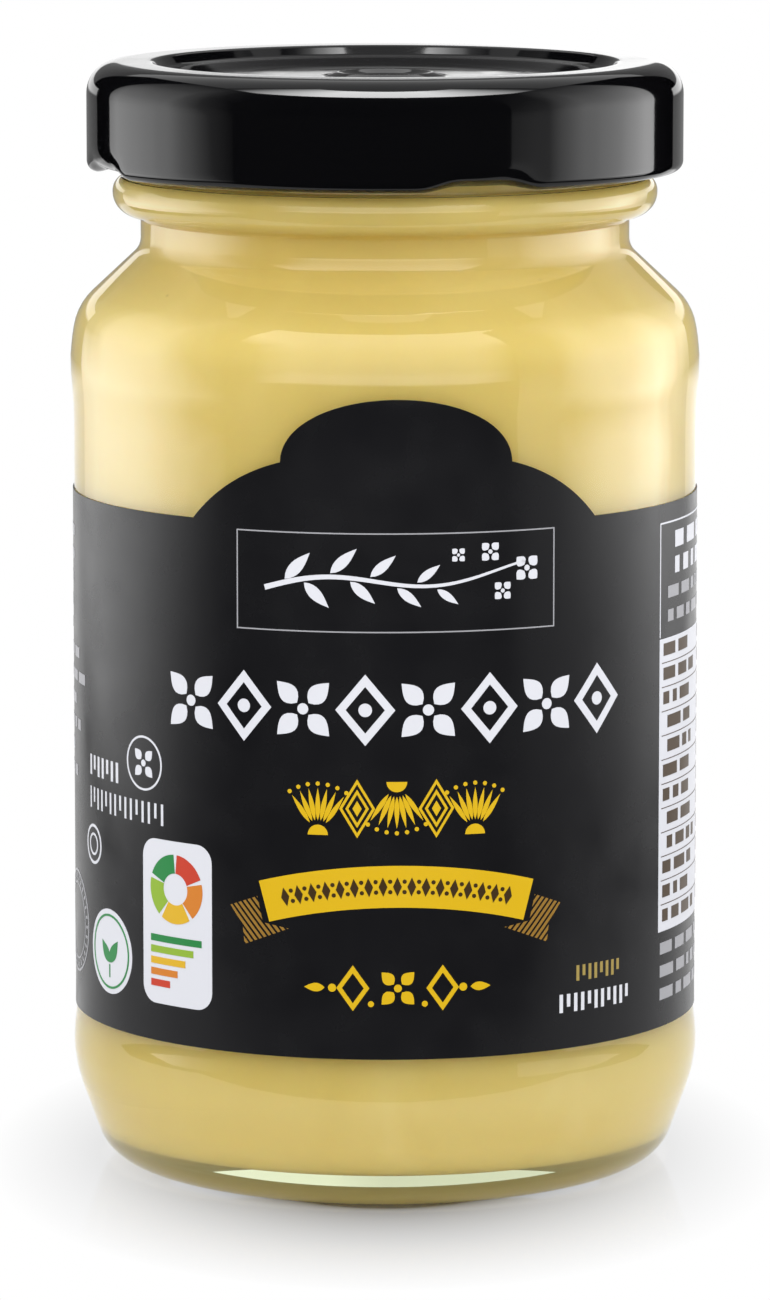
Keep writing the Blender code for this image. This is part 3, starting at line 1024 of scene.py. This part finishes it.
def light_sides(cloth, all_but_lid):
    """A card on each side, one further round on each for the glass's edge, a ring behind."""
    side_card(
        "left_card", cloth, -1, (57, 71, 79, 87, 95, 104, 120, 127),
        (0.0, 0.7, 1.6, 2.4, 3.1, 3.3, 2.8, 2.6), (0.2, 2.2, 3.2, 3.9, 4.4, 4.3, 3.4, 2.8),
        (0.0, 0.6, 1.8, 3.2, 3.2, 3.0, 2.2, 1.0))
    side_card(
        "right_card", cloth, 1, (47, 62, 70, 78, 86, 101, 113, 121),
        (0.9, 0.8, 0.75, 0.95, 1.25, 2.1, 2.4, 2.0), (0.9, 1.0, 2.2, 3.1, 3.8, 5.0, 5.0, 3.2),
        (0.2, 0.6, 2.2, 3.5, 3.6, 4.0, 4.2, 3.3))
    left_edge = side_card(
        "left_edge_card", cloth, -1, (127, 134, 143, 153),
        (2.6, 2.0, 1.4, 0.9), (2.8, 2.2, 1.4, 0.9), (1.0, 0.5, 0.4, 0.5))
    right_edge = side_card(
        "right_edge_card", cloth, 1, (121, 130, 138, 153),
        (2.0, 1.5, 1.0, 0.6), (3.2, 1.4, 0.7, 0.5), (3.3, 2.0, 1.7, 1.0))
    for card in (left_edge, right_edge):
        card.light_linking.receiver_collection = all_but_lid
    turns = [radians(a) for a in range(138, 223, 6)]
    rows = [around_jar(RING_AWAY, z, turns) for z in (0.0, 0.052, 0.06, 0.095, 0.10, 0.117)]
    shares = (1, 1.2, 0.35, 0.25, 1.4, 1.4)
    levels = [[share * (1.1 if a < pi else 0.9) for a in turns] for share in shares]
    studio_card("ring_card", cloth, rows, levels, diffuse=False)


def light_base(cloth, all_but_floor):
    """Light up through the base and round the foot, which leaves the floor's shadow alone."""
    under = overhead((-0.02, 0.02), (-0.02, 0.02), 0.0002)
    studio_card("under_glow", cloth, under, UNDER_RADIANCE, diffuse=False, glossy=False)
    turns = [2 * pi * k / 48 for k in range(49)]
    rows = [around_jar(away, 0.0003, turns) for away in (0.027, 0.034, 0.044, 0.13)]
    levels = [[v] * len(turns) for v in (1.9, 1.3, 0.36, 0.5)]
    glow = studio_card("floor_glow", cloth, rows, levels, glossy=False)
    glow.light_linking.receiver_collection = all_but_floor


def light_studio(lid, sheets):
    """All the cards, with which of them light the lid and the floor."""
    cloth = diffuser_glow()
    all_but_lid = receivers("all_but_lid", [lid], "EXCLUDE")
    light_front(cloth, all_but_lid)
    light_top(cloth, receivers("only_lid", [lid], "INCLUDE"))
    light_sides(cloth, all_but_lid)
    light_base(cloth, receivers("all_but_floor", sheets, "EXCLUDE"))
    rear = [[(0.8, 0.9, 0.10), (-0.8, 0.9, 0.10)], [(0.8, 0.9, 0.7), (-0.8, 0.9, 0.7)]]
    studio_card("rear_card", cloth, rear, REAR_RADIANCE, diffuse=False, transmission=False)


def make_world():
    """White to the eye and as ambient light, near black to what is glossy."""
    world = bpy.data.worlds.new("studio")
    world.use_nodes = True
    tree = world.node_tree
    ray = add_node(tree, "LightPath")
    mirrored = add_node(tree, "Math", {"operation": "SUBTRACT"})
    tree.links.new(ray.outputs["Is Glossy Ray"], mirrored.inputs[0])
    tree.links.new(ray.outputs["Is Transmission Ray"], mirrored.inputs[1])
    looked_at = add_node(
        tree, "MapRange", Value=mirrored.outputs["Value"], From_Min=0.0, From_Max=1.0,
        To_Min=1.0, To_Max=0.015)
    strength = add_node(
        tree, "MapRange", Value=ray.outputs["Diffuse Depth"], From_Min=0.0, From_Max=1.0,
        To_Min=looked_at.outputs["Result"], To_Max=AMBIENT)
    background = tree.nodes["Background"]
    background.inputs["Color"].default_value = (1, 1, 1, 1)
    tree.links.new(strength.outputs["Result"], background.inputs["Strength"])
    bpy.context.scene.world = world


def lay_floor(material):
    """The wide sheet that is seen, and the smaller one that the jar's gloss mirrors."""
    sheets = []
    for name, low, high, glossy in (
            ("floor", (-4, -2), (4, 6), False), ("floor_mirrored", (-0.16, -0.074), (0.16, 0.2), True)):
        mesh = bpy.data.meshes.new(name)
        corners = [(low[0], low[1], 0), (high[0], low[1], 0), (high[0], high[1], 0), (low[0], high[1], 0)]
        mesh.from_pydata(corners, [], [(0, 1, 2, 3)])
        mesh.materials.append(material)
        sheet = bpy.data.objects.new(name, mesh)
        bpy.context.scene.collection.objects.link(sheet)
        sheet.location.z = -0.0008 if glossy else -0.0001
        sheet.visible_glossy = glossy
        sheet.visible_camera = not glossy
        sheet.visible_diffuse = not glossy
        sheet.visible_transmission = not glossy
        sheet.visible_shadow = not glossy
        sheets.append(sheet)
    return sheets


def main():
    set_camera()
    make_world()
    sheets = lay_floor(acrylic_floor())
    make_glass(flint_glass())
    make_mustard(mustard_paste())
    lid = make_lid(black_enamel())
    light_studio(lid, sheets)
    make_label(printed_film("black_film", "#0e0e10", 0.20, 0.30))
    white = printed_film("white_ink", "#bcbdc3", 0.28, 0.38)
    grey = printed_film("grey_ink", "#8a8a8e", 0.28, 0.38)
    yellow = printed_film("yellow_ink", "#ba9708", 0.28, 0.38)
    gold = printed_film("gold_ink", "#805f22", 0.30, 0.40)
    pale_gold = printed_film("pale_gold_ink", "#8a7840", 0.30, 0.40)
    brown = printed_film("dark_ink", "#33240f", 0.28, 0.38)
    wheel = ("#206e38", "#79972d", "#bb9520", "#b26a22", "#a73422")
    tile_inks = [printed_film(f"tile_ink_{k + 1}", code, 0.28, 0.38) for k, code in enumerate(wheel)]
    print_front(white, grey, yellow, gold, brown, pale_gold)
    print_left(white, grey, tile_inks)
    print_right(white, grey, brown)
    bpy.context.scene.view_settings.view_transform = "Standard"


main()
